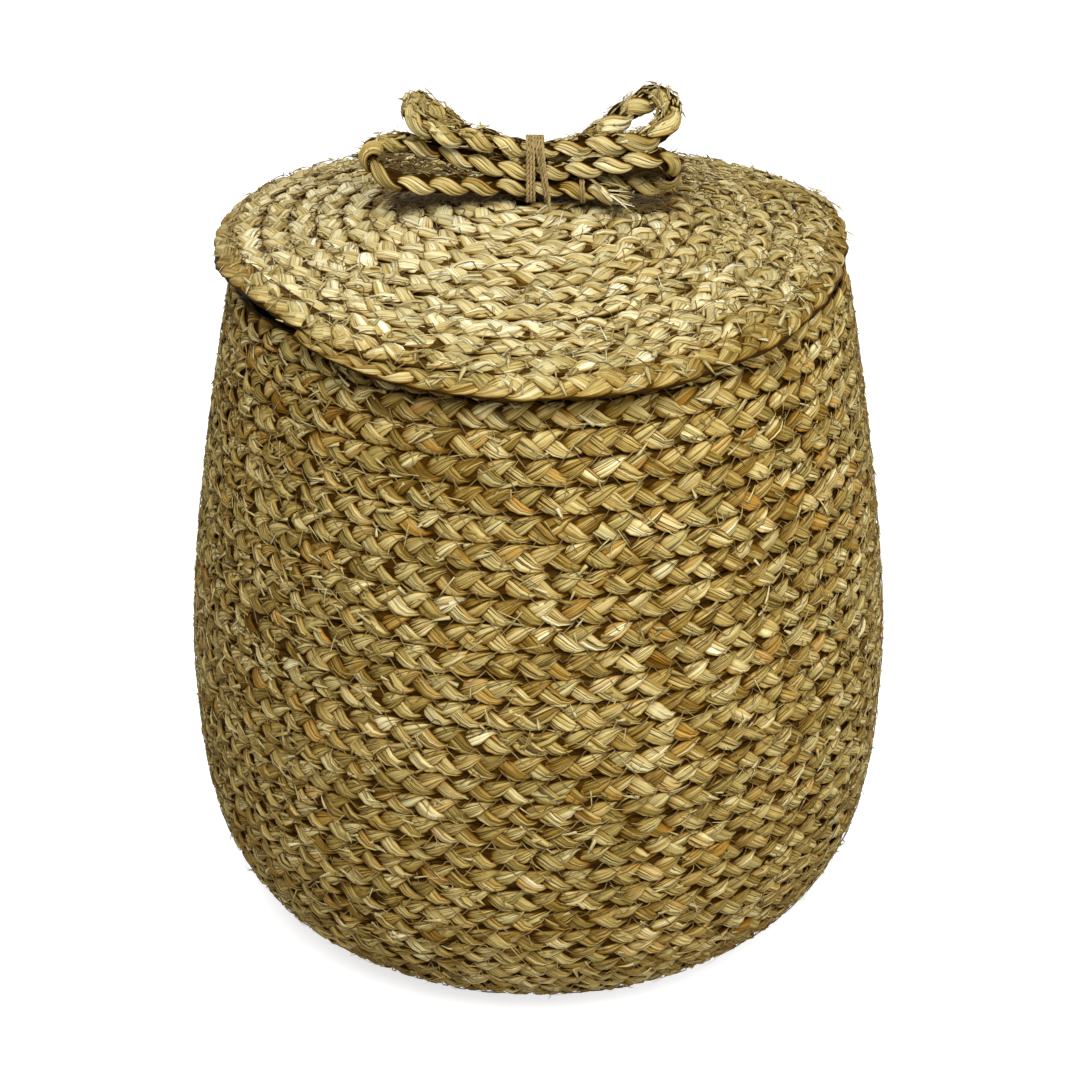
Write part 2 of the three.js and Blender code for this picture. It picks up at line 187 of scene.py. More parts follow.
def meshPiece(name, sweeps, material, body, nodes=()):
    # joins swept tubes into one mesh, with both layouts and the tone, age and depth values on it; the depth value
    # darkens the leaf as painted shade
    base = np.cumsum([0] + [len(s.points) for s in sweeps])
    points = np.concatenate([s.points for s in sweeps])
    quads = np.concatenate([s.quads + b for s, b in zip(sweeps, base)])
    caps = [cap + b for s, b in zip(sweeps, base) for cap in s.caps]
    loops = np.concatenate([quads.ravel()] + caps)
    sizes = np.concatenate([np.full(len(quads), 4), [len(c) for c in caps]])
    starts = np.concatenate([[0], np.cumsum(sizes)[:-1]])
    mesh = bpy.data.meshes.new(name)
    mesh.vertices.add(len(points))
    mesh.vertices.foreach_set("co", points.astype(np.float32).ravel())
    mesh.loops.add(len(loops))
    mesh.loops.foreach_set("vertex_index", loops.astype(np.int32))
    mesh.polygons.add(len(sizes))
    mesh.polygons.foreach_set("loop_start", starts.astype(np.int32))
    mesh.update(calc_edges=True)
    mesh.shade_smooth()
    capLoops = np.zeros((len(loops) - quads.size, 2))
    layouts = {"strand": [strandLayout(s) for s in sweeps], "OFBake": bakeLayout(sweeps)}
    for layout, parts in layouts.items():
        uv = mesh.uv_layers.new(name=layout)
        uv.uv.foreach_set("vector", np.concatenate(parts + [capLoops]).astype(np.float32).ravel())
    mesh.uv_layers.active = mesh.uv_layers["OFBake"]
    for key in ("tone", "age"):
        values = np.concatenate([getattr(s, key).ravel() for s in sweeps] + [np.full(len(caps), 0.4)])
        mesh.attributes.new(key, "FLOAT", "FACE").data.foreach_set("value", values.astype(np.float32))
    sunk = np.concatenate([s.sunk.ravel() for s in sweeps])
    mesh.attributes.new("sunk", "FLOAT", "POINT").data.foreach_set("value", sunk.astype(np.float32))
    mesh.materials.append(material)
    piece = bpy.data.objects.new(name, mesh)
    scene.collection.objects.link(piece)
    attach(piece, body)
    if nodes:
        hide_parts(*nodes)
    print("made", name, len(quads) * 2, "triangles")


# materials

def connect(tree, made, inputs):
    # every named input gets a number, a colour or a link from another node's output
    for key, value in inputs.items():
        target = made.inputs[key]
        if isinstance(value, (int, float)):
            target.default_value = value
        elif isinstance(value, tuple):
            target.default_value = (*value, 1)
        else:
            tree.links.new(value, target)


def node(tree, kind, inputs=(), **settings):
    # a new shader node with its settings and inputs
    made = tree.nodes.new("ShaderNode" + kind)
    for key, value in settings.items():
        setattr(made, key, value)
    connect(tree, made, dict(inputs))
    return made


def math2(tree, operation, a, b, clamp=False):
    # one Math node of two inputs
    return node(tree, "Math", {0: a, 1: b}, operation=operation, use_clamp=clamp).outputs[0]


def ramp(tree, value, stops):
    # a value turned into a colour between the stops
    made = node(tree, "ValToRGB", {0: value})
    while len(made.color_ramp.elements) < len(stops):
        made.color_ramp.elements.new(0.5)
    for element, (place, colour) in zip(made.color_ramp.elements, stops):
        element.position = place
        element.color = (*colour, 1)
    return made.outputs[0]


def mixColour(tree, share, a, b, kind="MIX"):
    # two colours mixed or multiplied by a share
    return node(tree, "Mix", {0: share, 6: a, 7: b}, data_type="RGBA", blend_type=kind).outputs[2]


def noise(tree, vector, scale, detail, rough):
    # noise from 0 to 1
    inputs = {"Vector": vector, "Scale": scale, "Detail": detail, "Roughness": rough}
    return node(tree, "TexNoise", inputs).outputs["Fac"]


def bumped(tree, height, strength, distance):
    # normals tilted by a height
    return node(tree, "Bump", {"Strength": strength, "Distance": distance, "Height": height}).outputs[0]


def newMaterial(name):
    # a node material with its tree and main shader
    material = bpy.data.materials.new(name)
    material.use_nodes = True
    return material, material.node_tree, material.node_tree.nodes["Principled BSDF"]


grass = SimpleNamespace(
    shades=[  # dried leaf from its shaded brown to its bleached straw
        (0.0, (0.07, 0.029, 0.002)), (0.25, (0.2, 0.118, 0.02)), (0.5, (0.41, 0.295, 0.1)),
        (0.75, (0.615, 0.515, 0.265)), (1.0, (0.85, 0.785, 0.56))],
    # gap: the dark brown of the fibre lines and of the deepest painted shade
    olive=(0.25, 0.215, 0.08), rust=(0.46, 0.2, 0.016), gap=(0.024, 0.0095, 0.0006),
    # the amber tint of the painted shade between the strands
    shadeAmber=(0.66, 0.47, 0.16), specularTint=(1.0, 0.8, 0.4), specular=0.08, roughness=0.5,
    # patterns: scale along and around the strand, step from tone to tone, detail, roughness
    streak=(2.5, 26.0, 11.0, 3.0, 0.6), vein=(2.0, 60.0, 5.0, 1.0, 0.5),
    blotch=(4.0, 4.0, 23.0, 3.0, 0.6), furrow=(1.8, 24.0, 31.0, 1.0, 0.5))


def grassGroup():
    # leaf effect: tone picks the shade, long streaks and blotches vary it, thin dark lines part its fibres,
    # age turns it olive or rust, and the depth value paints shade: amber, then dark brown, deep between the strands
    group = bpy.data.node_groups.new("driedLeaf", "ShaderNodeTree")
    sockets = {"INPUT": {"Strand": "Vector", "Tone": "Float", "Age": "Float", "Sunk": "Float", "BleachAndLight": "Float",
                         "Contrast": "Float"},
               "OUTPUT": {"Color": "Color", "Roughness": "Float", "Height": "Float"}}
    for way, named in sockets.items():
        for name, kind in named.items():
            group.interface.new_socket(name, in_out=way, socket_type="NodeSocket" + kind)
    enter, leave = group.nodes.new("NodeGroupInput").outputs, group.nodes.new("NodeGroupOutput")
    tone, age, sunk, contrast = (enter[name] for name in ("Tone", "Age", "Sunk", "Contrast"))
    plus, minus, times = (partial(math2, group, kind) for kind in ("ADD", "SUBTRACT", "MULTIPLY"))
    mixed = partial(mixColour, group)
    strand = node(group, "SeparateXYZ", {0: enter["Strand"]}).outputs

    def pattern(along, around, step, detail, rough):
        # noise over the strand's own coordinates, each stretched, and another one for each tone
        place = {0: times(strand[0], along), 1: times(strand[1], around), 2: times(tone, step)}
        return noise(group, node(group, "CombineXYZ", place).outputs[0], 1.0, detail, rough)

    streak, blotch, vein, furrow = (pattern(*p) for p in (grass.streak, grass.blotch, grass.vein, grass.furrow))
    # bleach lifts the tone: paler straw, and on the lid and the bow partly painted light from above
    shade = plus(tone, enter["BleachAndLight"])
    for value, amount in ((streak, 0.75), (blotch, 0.6), (vein, 0.3)):
        shade = plus(shade, times(minus(value, 0.5), times(contrast, amount)))
    colour = ramp(group, shade, grass.shades)
    green = times(minus(0.4, age), 2.4, True)
    colour = mixed(times(green, 0.42), colour, grass.olive)
    rusty = times(minus(age, 0.92), 10.0, True)
    colour = mixed(times(rusty, blotch), colour, grass.rust)
    line = times(minus(0.43, furrow), 12.0, True)
    colour = mixed(times(line, times(contrast, 0.85)), colour, grass.gap)
    # painted shade: the depth value multiplies the colour towards amber, and past a third of it mixes in the dark
    # brown
    colour = mixed(times(sunk, 1.6, True), colour, grass.shadeAmber, "MULTIPLY")
    colour = mixed(times(minus(sunk, 0.34), 2.1, True), colour, grass.gap)
    height = plus(streak, times(vein, 0.6))
    connect(group, leave, {"Color": colour, "Roughness": times(streak, 0.3), "Height": height})
    return group


driedLeaf = grassGroup()


def grassMaterial(name, bleachAndLight, contrast, bump, tint):
    # the leaf effect fed with the mesh's own values, its colour multiplied by a tint
    material, tree, shader = newMaterial(name)
    inputs = {"Strand": node(tree, "UVMap", uv_map="strand").outputs[0], "BleachAndLight": bleachAndLight, "Contrast": contrast}
    for key in ("tone", "age", "sunk"):
        inputs[key.capitalize()] = node(tree, "Attribute", attribute_name=key).outputs["Fac"]
    effect = node(tree, "Group", node_tree=driedLeaf)
    connect(tree, effect, inputs)
    connect(tree, shader, {
        "Base Color": mixColour(tree, 1.0, effect.outputs["Color"], tint, "MULTIPLY"),
        "Roughness": math2(tree, "ADD", effect.outputs["Roughness"], grass.roughness),
        "Normal": bumped(tree, effect.outputs["Height"], bump, 0.4 * mm),
        "Specular IOR Level": grass.specular, "Specular Tint": grass.specularTint})
    return material


twineLook = SimpleNamespace(dark=(0.12, 0.075, 0.022), pale=(0.43, 0.31, 0.13), stretch=(6.0, 9.0, 1.0))


def twineMaterial(name, lift):
    # brown bast fibre: fine streaks along the yarn between a dark and a pale brown
    material, tree, shader = newMaterial(name)
    stretch = node(tree, "Mapping", {0: node(tree, "UVMap", uv_map="strand").outputs[0]})
    stretch.inputs["Scale"].default_value = twineLook.stretch
    fibre = noise(tree, stretch.outputs[0], 3.0, 4.0, 0.7)
    tone = node(tree, "Attribute", attribute_name="tone").outputs["Fac"]
    shade = math2(tree, "ADD", fibre, math2(tree, "MULTIPLY", tone, 0.5))
    shade = math2(tree, "ADD", shade, lift - 0.25, True)
    connect(tree, shader, {
        "Base Color": ramp(tree, shade, [(0.15, twineLook.dark), (0.85, twineLook.pale)]),
        "Roughness": math2(tree, "ADD", math2(tree, "MULTIPLY", fibre, 0.2), 0.75),
        "Normal": bumped(tree, fibre, 0.6, 0.2 * mm), "Specular IOR Level": 0.2})
    return material


# bleach: the lid and the bow paler, partly bleached straw and partly painted light from above
basketGrass = grassMaterial("basketGrass", 0.04, 1.0, 0.7, (1.0, 0.99, 0.86))
lidGrass = grassMaterial("lidGrass", 0.23, 0.72, 0.7, (1.03, 1.06, 1.05))
bowGrass = grassMaterial("bowGrass", 0.13, 0.85, 0.6, (0.97, 0.96, 0.85))
sewingThread = twineMaterial("sewingThread", -0.22)
bowTwine = twineMaterial("bowTwine", 0.05)


# the basket's outline, from the floor's middle to the rim

basket = SimpleNamespace(
    floorRadius=72 * mm, bellyRadius=180 * mm, bellyHeight=144 * mm, heelSquareness=3.3,
    mouthRadius=150 * mm, mouthSqueeze=16 * mm, shoulderPower=1.4, rimHeight=346 * mm,
    rimClimb=2 * mm, thickness=8 * mm, rowWidth=12.3 * mm, heelRows=13,
    endAngle=math.radians(62), endWidth=0.35, taper=0.1, merge=0.08, firstTurn=0.95, way=1,
    # painted shade: dim darkens the wall towards its left side; under=0 leaves out the painted bow shadow
    dim=0.03, dimAngle=math.radians(195), under=0,
    seed=11, material=basketGrass, body="basket", slot="seagrass_basket")


def outlineTable(radius, height):
    # arc length, point and outward normal along a line of radius and height
    run = np.concatenate([[0], np.cumsum(np.hypot(np.diff(radius), np.diff(height)))])
    slopeR, slopeZ = np.gradient(radius, run), np.gradient(height, run)
    size = np.hypot(slopeR, slopeZ)
    return SimpleNamespace(place=run, radius=radius, height=height, outR=slopeZ / size, outZ=-slopeR / size)


def sunkLine(table, place, depth):
    # radius and height of the outline at a place along it, sunk by the depth along its normal
    lines = (table.radius, table.height, table.outR, table.outZ)
    radius, height, outR, outZ = (np.interp(place, table.place, line) for line in lines)
    return radius - depth * outR, height - depth * outZ


def basketTable():
    # floor straight out, heel as a superellipse quarter, wall drawn in by a power of its height
    b = basket
    floor = np.linspace(0, b.floorRadius, 60)[:-1]
    t = np.linspace(0, math.pi / 2, 500)
    power = 2 / b.heelSquareness
    heelR = b.floorRadius + (b.bellyRadius - b.floorRadius) * np.sin(t) ** power
    heelZ = b.bellyHeight * (1 - np.clip(np.cos(t), 0, 1) ** power)
    u = np.linspace(0, 1.06, 300)[1:]
    wallR = b.bellyRadius - (b.bellyRadius - b.mouthRadius) * u ** b.shoulderPower
    wallZ = b.bellyHeight + (b.rimHeight - b.bellyHeight) * u
    table = outlineTable(np.concatenate([floor, heelR, wallR]), np.concatenate([floor * 0, heelZ, wallZ]))
    table.length = np.interp(b.rimHeight, table.height[600:], table.place[600:])
    return table


def basketSurface(place, theta, depth):
    # the outline turned round Z, sunk by the depth, then pressed in front and back and lifted on the right
    b = basket
    radius, z = sunkLine(b.table, place, depth)
    x, y = radius * np.cos(theta), radius * np.sin(theta)
    share = np.maximum(0, (z - b.bellyHeight) / (b.rimHeight - b.bellyHeight))
    y = y * (1 - b.mouthSqueeze / b.mouthRadius * share ** 2)
    z = z + b.rimClimb * x / b.mouthRadius * share ** 2
    return np.stack([x, y, z], axis=-1)


basket.table, basket.surface = basketTable(), basketSurface


# the lid's outline, from its middle to the lip

lid = SimpleNamespace(
    radius=153 * mm, thickness=7.5 * mm, flatRadius=17 * mm, rise=20 * mm, power=1.12,
    lipAngle=math.radians(35), lipWidth=13.6 * mm, cornerEase=25,
    saddle=6 * mm, roll=2.5 * mm, pitch=4 * mm, shift=-4.5 * mm,
    endAngle=math.radians(226), endWidth=0.35, taper=0.12, merge=0.07, firstTurn=0.95, way=-1,
    # dim darkens the lid towards its right; under=1 gives it the painted shadow of the bow
    dim=0.12, dimAngle=math.radians(25), under=1,
    # bends of the edge: amount, angle, tightness, inner radius
    curl=(2.2 * mm, math.radians(40), 2.5, 70 * mm), gape=(6 * mm, math.radians(212), 22, 115 * mm),
    corner=(7 * mm, math.radians(16), 28, 110 * mm), bendRadius=150 * mm,
    seed=501, material=lidGrass, body="lid", slot="seagrass_lid")


def lidTable():
    # top line falling by a power of the radius, then the last row turned down, with the corner eased
    w = lid.lipWidth
    shoulder = lid.radius - w * math.cos(lid.lipAngle)
    radius = np.linspace(0, shoulder, 500)
    share = np.maximum(0, (radius - lid.flatRadius) / (shoulder - lid.flatRadius))
    height = -lid.rise * share ** lid.power
    lip = np.linspace(0, 1.6 * w, 60)[1:]
    radius = np.concatenate([radius, shoulder + lip * math.cos(lid.lipAngle)])
    height = np.concatenate([height, -lid.rise - lip * math.sin(lid.lipAngle)])
    run = np.concatenate([[0], np.cumsum(np.hypot(np.diff(radius), np.diff(height)))])
    even = np.linspace(0, run[-1], 700)
    width = lid.cornerEase
    window = np.hanning(width) / np.hanning(width).sum()
    height = np.interp(even, run, height)
    soft = np.convolve(np.pad(height, width // 2, mode="edge"), window, mode="valid")
    height = np.where(even < run[-1] - 12 * mm, soft, height)
    radius = np.interp(even, run, radius)
    table = outlineTable(radius, height)
    table.outR, table.outZ = -table.outR, -table.outZ
    table.length = np.interp(shoulder, radius, table.place) + w
    return table


def lidWarp(x, y):
    # a saddle, up to the sides and down to the front and back, tipped to the right and to the front
    saddle = lid.saddle * (x * x - y * y) / lid.radius ** 2
    return saddle - lid.roll * x / lid.radius + lid.pitch * y / lid.radius


def edgeBend(bend, radius, theta):
    # a bend of the edge: its amount times a bell of the angle, growing from its inner radius to the edge
    amount, angle, tightness, inner = bend
    return amount * bell(theta, angle, tightness) * eased(radius, inner, lid.bendRadius)


def lidSurface(place, theta, depth):
    # the lid's line turned round its own middle, sunk by the depth, then warped as a saddle and tipped; its
    # edge curls up at the back right, stands off where its last row ends, and juts out in one corner
    radius, z = sunkLine(lid.table, place, depth)
    z = z + edgeBend(lid.curl, radius, theta)
    z = z + edgeBend(lid.gape, radius, theta)
    radius = radius + edgeBend(lid.corner, radius, theta)
    x, y = radius * np.cos(theta), radius * np.sin(theta)
    return np.stack([x + lid.shift, y, z + lidWarp(x, y) + lid.rest], axis=-1)


lid.table, lid.surface = lidTable(), lidSurface
ringX, ringY = np.meshgrid(np.linspace(-0.04, 0.04, 81), np.linspace(-0.04, 0.04, 81))
ringTop = np.interp(np.hypot(ringX, ringY), lid.table.radius, lid.table.height)
ringTop = lidWarp(ringX, ringY) + ringTop
lid.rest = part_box("lid_coil")[1].z - ringTop.max()


# the plait: three strands in a coil

plait = SimpleNamespace(
    period=45 * mm, sway=5.0 * mm, lift=1.7 * mm, width=9.0 * mm, thickness=3.6 * mm,
    steps=14, corner=0.7, dive=0.6 * mm, tip=0.4, thinnest=0.78, roll=0.25,
    # the dark band of painted shade inside the plait
    shadeBandWidth=12.6 * mm, shadeBandThickness=1.4 * mm, shadeBandSteps=40,
    leanest=0.45, toneSpread=0.1, bladeSpread=0.1, oldest=1.0, shadow=1.0,
    # depth for the painted shade: shares of the thickness and of the half row where it sets in and is full, and
    # weights
    shaded=(0.24, 0.6), innerSide=1.16, seam=(0.8, 1.1), cutDepth=0.7, marginDepth=0.5, seamDepth=0.8,
    # drifts along a strand: number, amount, length
    phase=(0, 0.45, 60 * mm), swaying=(1, 0.35 * mm, 31 * mm), wander=(2, 0.4 * mm, 23 * mm),
    rising=(3, 0.35 * mm, 15 * mm), rolling=(4, 0.2, 19 * mm), widening=(5, 0.17, 22 * mm),
    thickening=(6, 0.12, 18 * mm), shading=(8, 0.07, 240 * mm))
basket.plait = plait
flatter = {"sway": 4.7 * mm, "lift": 1.2 * mm, "width": 9.8 * mm, "toneSpread": 0.06, "oldest": 0.93, "shadow": 0.7}
lid.plait = SimpleNamespace(**{**vars(plait), **flatter})
# painted shade: darker towards the foot; a little darker again at the top
basket.shade = np.array([0, 130, 280, 390, 460]) * mm, np.array([-0.09, -0.09, -0.02, 0, -0.05])
# painted shade on the turned-down lip
lid.shade = lid.table.length - np.array([60, 16, 6]) * mm, np.array([0, -0.06, -0.32])
# painted shadow of the bow on the lid: inside this oval round the bow's middle the lid's tone drops by dim and its
# points darken by sunk
bowShadow = SimpleNamespace(middle=np.array([-6, 14]) * mm, half=np.array([78, 21]) * mm, sunk=0.38, dim=0.25)
leaf = SimpleNamespace(
    power=2.3, roundness=0.55, underside=0.85, slits=(3, 6, 9), slitDepth=0.34, deepest=0.7, hidden=0.6,
    stagger=(10, 0.26, 17 * mm), slitShift=(20, 0.2, 21 * mm), slitVary=(30, 0.42, 13 * mm))
leafX = np.array([-1, -0.82, -0.57, -0.5, -0.43, -0.07, 0, 0.07, 0.43, 0.5, 0.57, 0.82, 1, 0])
leafTop = np.arange(14) < 13
leafMargin = eased(np.abs(leafX), 0.7, 1.0)
bladeOfPoint = np.array([0, 0, 0, -1, 1, 1, -1, 2, 2, -1, 3, 3, 3, -1])
bladeOfFace = np.array([0, 0, 0, 1, 1, 1, 2, 2, 2, 3, 3, 3, 4, 5])


def leafSection(seed, walk, width, thickness):
    # four flat blades side by side: a lens outline, with narrow slits between the blades that wander along it
    # and blades that stand a little above or below each other; gives x, z and how far each point is in a slit
    x = np.tile(leafX, (len(walk), 1))
    lens = np.maximum(0, 1 - np.abs(x) ** leaf.power) ** leaf.roundness
    z = np.where(leafTop, lens, -leaf.underside * lens)
    cut = np.zeros_like(x)
    for number in range(4):
        member = bladeOfPoint == number
        z[:, member] += vary(leaf.stagger, seed + number, walk)[:, None] * lens[:, member]
    for number, i in enumerate(leaf.slits):
        x[:, i - 1:i + 2] += vary(leaf.slitShift, seed + number, walk)[:, None]
        depth = np.clip(leaf.slitDepth + vary(leaf.slitVary, seed + number, walk), 0.0, leaf.deepest)
        z[:, i] -= depth
        cut[:, i] = depth / leaf.deepest
    return x * (width / 2)[:, None], z * (thickness / 2)[:, None], cut


def leafValues(seed, phase, toneSpread, bladeSpread):
    # a tone and an age for every blade of every leaf; a leaf is half a period, changing where it lies hidden
    rng = np.random.default_rng(seed)
    piece = np.floor((phase + leaf.hidden) / math.pi).astype(int)
    piece -= piece.min()
    shape = (piece.max() + 1, 6)
    tone = rng.normal(0.5, toneSpread, shape[0])[:, None] + rng.normal(0, bladeSpread, shape)
    age = np.clip(rng.uniform(0, 1, shape[0])[:, None] + rng.normal(0, 0.1, shape), 0, 1)
    return tone[piece[:-1]][:, bladeOfFace], age[piece[:-1]][:, bladeOfFace]


def rowWidthLeft(coil, turn):
    # share of a full row: 1 until the taper before the coil's end, then narrowing to the end's own width
    return coil.endWidth + (1 - coil.endWidth) * eased(coil.turns - turn, 0, coil.taper)


def coilLine(coil, turn):
    # where a row lies: the rows at an angle share the outline's length, the last one with its narrowed width;
    # past the coil's end the rows spread out to fill what was left of it. Gives inner edge, width and angle
    past = np.mod(turn - coil.turns, 1.0)
    before = coil.turns - 2 + past + rowWidthLeft(coil, coil.turns - 1 + past)
    ease = eased(past, 0, coil.merge)
    rows = (coil.turns - 1 + coil.endWidth) * (1 - ease) + before * ease
    pitch = coil.table.length / rows
    width = pitch * np.where(turn > coil.turns - 1, rowWidthLeft(coil, turn), 1.0)
    theta = coil.endAngle + coil.way * fullTurn * (turn - coil.turns)
    return (turn - 1) * pitch, width, theta


def walkCoil(coil):
    # turns of the coil against the length walked along it
    turn = np.linspace(coil.firstTurn, coil.turns, 20000)
    edge, width, theta = coilLine(coil, turn)
    middle = np.maximum(edge + width / 2, 0.5 * mm)
    radius = np.interp(middle, coil.table.place, coil.table.radius)
    step = np.hypot(radius[1:] * np.diff(theta), np.diff(edge))
    return turn, np.concatenate([[0], np.cumsum(step)])


def onSurface(coil, place, theta, depth):
    # the points of a coil's surface and the direction out of it
    centre = coil.surface(place, theta, depth)
    return centre, unit(coil.surface(place, theta, depth - 0.3 * mm) - centre)


def coilStrand(coil, number, fromTurn, toTurn):
    # one strand of the plait: it sways across the row as a softened triangle wave of its phase and rises as the
    # sine of twice that, a third of a period behind its neighbour; at the row's edges it narrows and dives
    p, thickness = coil.plait, coil.thickness
    seed = coil.seed + 100 * number
    turn, walked = walkCoil(coil)
    ends = np.interp([fromTurn, toTurn], turn, walked)
    step = p.period / p.steps
    walk = np.arange(math.ceil(ends[0] / step), math.floor(ends[1] / step) + 1) * step
    edge, rowWidth, theta = coilLine(coil, np.interp(walk, walked, turn))
    phase = fullTurn * (walk / p.period + number / 3) + vary(p.phase, seed, walk)
    scale = thickness / basket.thickness
    growth = rowWidth / basket.rowWidth
    bulk = p.leanest + (1 - p.leanest) * np.minimum(growth, 1)
    full = np.abs(np.sin(2 * phase))
    turning = np.abs(np.sin(phase))
    wave = np.arcsin(p.corner * np.sin(phase)) / math.asin(p.corner)
    sway = (p.sway + vary(p.swaying, seed, walk)) * wave
    sway = growth * (sway + vary(p.wander, seed, walk))
    rise = p.lift * np.sin(2 * phase) + vary(p.rising, seed, walk) - p.dive * turning ** 8
    rise = scale * bulk * rise
    place = np.maximum(edge + rowWidth / 2 + sway, 0.6 * mm)
    depth = thickness / 2 - rise
    centre, hint = onSurface(coil, place, theta, depth)
    roll = vary(p.rolling, seed, walk) - p.roll * np.sin(phase) * np.sin(2 * phase)
    tangent = unit(np.gradient(centre, axis=0))
    hint = unit(hint + roll[:, None] * np.cross(tangent, hint))
    width = growth * p.width * (1 + vary(p.widening, seed, walk))
    width = width * (1 - (1 - p.tip) * turning ** 3.5)
    thick = scale * bulk * p.thickness * (1 + vary(p.thickening, seed, walk))
    thick = thick * (p.thinnest + (1 - p.thinnest) * full)
    x, z, cut = leafSection(seed, walk, width, thick)

    # tone: darker by place, as painted shade at the basket's foot and on the lid's lip; by angle, as painted shade
    # on the basket's left and darker on the lid's right; and under the bow, as a painted shadow
    tone, age = leafValues(seed + 7, phase, p.toneSpread, p.bladeSpread)
    shade = vary(p.shading, seed, walk) + np.interp(place, *coil.shade)
    shade = shade - coil.dim * (0.5 + 0.5 * np.cos(theta - coil.dimAngle)) ** 2
    # painted shadow of the bow: how far a point lies inside the oval under the bow
    bowShaded = ((centre[:, :2] - bowShadow.middle) / bowShadow.half) ** 4
    bowShaded = coil.under * eased(1 - bowShaded.sum(axis=1), 0, 0.45)
    shade = shade - bowShadow.dim * bowShaded
    tone = np.clip(tone + shade[:-1, None], 0.02, 0.98)

    # painted shade from depth: between the faces of the wall, in the slits, at the leaf's margins and along the
    # row's seams, plus the painted shadow under the bow
    slope = np.gradient(sway, walk)[:, None]
    lateral = np.abs(sway[:, None] - x / np.sqrt(1 + slope * slope)) / (rowWidth[:, None] / 2)
    buried = (depth[:, None] - z) / thickness
    buried = np.minimum(buried, p.innerSide - buried)
    sunk = eased(buried, *p.shaded) + p.cutDepth * cut + p.marginDepth * leafMargin
    sunk = p.shadow * (sunk + p.seamDepth * eased(lateral, *p.seam)) + bowShadow.sunk * bowShaded[:, None]
    return sweep(centre, hint, x, z, walk / p.period + 57 * number + seed, tone,
                 age * p.oldest, np.clip(sunk, 0, 1))


def coilShadeBand(coil, fromTurn, toTurn):
    # painted shade: a dark flat band of the row's width half-way through the plait's thickness, filling the holes
    # between its strands
    fromTurn = max(fromTurn, coil.firstTurn)
    turn = np.linspace(fromTurn, toTurn, int((toTurn - fromTurn) * plait.shadeBandSteps))
    walk = np.interp(turn, *walkCoil(coil))
    edge, rowWidth, theta = coilLine(coil, turn)
    place = np.maximum(edge + rowWidth / 2, 0.6 * mm)
    centre, hint = onSurface(coil, place, theta, np.full(len(walk), coil.thickness / 2))
    size = (rowWidth / basket.rowWidth)[:, None]
    x = np.array([-0.5, -0.3, 0.3, 0.5, 0.3, -0.3]) * plait.shadeBandWidth * size
    z = np.array([0, 0.5, 0.5, 0, -0.5, -0.5]) * plait.shadeBandThickness * size
    pattern = walk / plait.period + coil.seed
    return sweep(centre, hint, x, z, pattern, 0.3, 0.96 * coil.plait.oldest, 0.75)


def coilPiece(name, coil, strands, fromTurn, toTurn, replaced):
    # some strands of a coil from one turn to another; the first one brings the dark band of painted shade with it
    made = [coilStrand(coil, k, fromTurn, toTurn) for k in strands]
    if 0 in strands:
        made.append(coilShadeBand(coil, fromTurn, toTurn))
    meshPiece(name, made, coil.material, coil.body, [replaced])


for coil in (basket, lid):
    coil.turns = coil.table.length / basket.rowWidth
heelTurn = basket.floorRadius / basket.rowWidth + basket.heelRows
rimTurn = basket.turns - 1
lipTurn = lid.turns - 1
for k in range(3):
    coilPiece(f"base_strand_{k + 1}", basket, [k], 0, heelTurn, "base_coil")
    coilPiece(f"wall_strand_{k + 1}", basket, [k], heelTurn, rimTurn, "wall_coil")
coilPiece("rim_plait", basket, range(3), rimTurn, basket.turns, "rim_row")
coilPiece("lid_plait", lid, range(3), 0, lipTurn, "lid_coil")
coilPiece("lid_lip_plait", lid, range(3), lipTurn, lid.turns, "lid_lip_row")


# sewing thread: a zigzag over every seam

stitch = SimpleNamespace(
    pitch=14.0 * mm, reach=4.0 * mm, diameter=0.6 * mm, steps=8, sunk=0.6 * mm, dip=2.2 * mm,
    pacing=(0, 0.6, 41 * mm), reaching=(1, 0.3, 12 * mm), straying=(2, 0.6 * mm, 17 * mm),
    sinking=(3, 0.3 * mm, 9 * mm), shading=(4, 0.4, 30 * mm))


def stitching(name, coil, seed):
    # along the seam between a row and the next: a triangle wave across it that dips into the plait at its turns
    turn, walked = walkCoil(coil)
    inner = turn < coil.turns - 1
    step = stitch.pitch / stitch.steps
    walk = np.arange(1, int(walked[inner][-1] / step)) * step
    edge, width, theta = coilLine(coil, np.interp(walk, walked, turn))
    phase = walk / stitch.pitch + vary(stitch.pacing, seed, walk)
    wave = 4 * np.abs(np.mod(phase, 1.0) - 0.5) - 1
    reach = stitch.reach * (1 + vary(stitch.reaching, seed, walk))
    place = edge + width + wave * reach + vary(stitch.straying, seed, walk)
    depth = stitch.sunk + stitch.dip * eased(np.abs(wave), 0.7, 1.0)
    depth = depth + vary(stitch.sinking, seed, walk)
    centre, hint = onSurface(coil, place, theta, depth)
    x, z = roundSection(np.full((len(walk), 1), stitch.diameter / 2), 3)
    tone = np.clip(0.5 + vary(stitch.shading, seed, walk), 0, 1)[:-1, None]
    tube = sweep(centre, hint, x, z, walk / (20 * mm), tone, 0.5, 0.0)
    meshPiece(name, [tube], sewingThread, coil.body)


stitching("basket_stitching", basket, 901)
stitching("lid_stitching", lid, 951)


# the bow: one plait laid in four loops

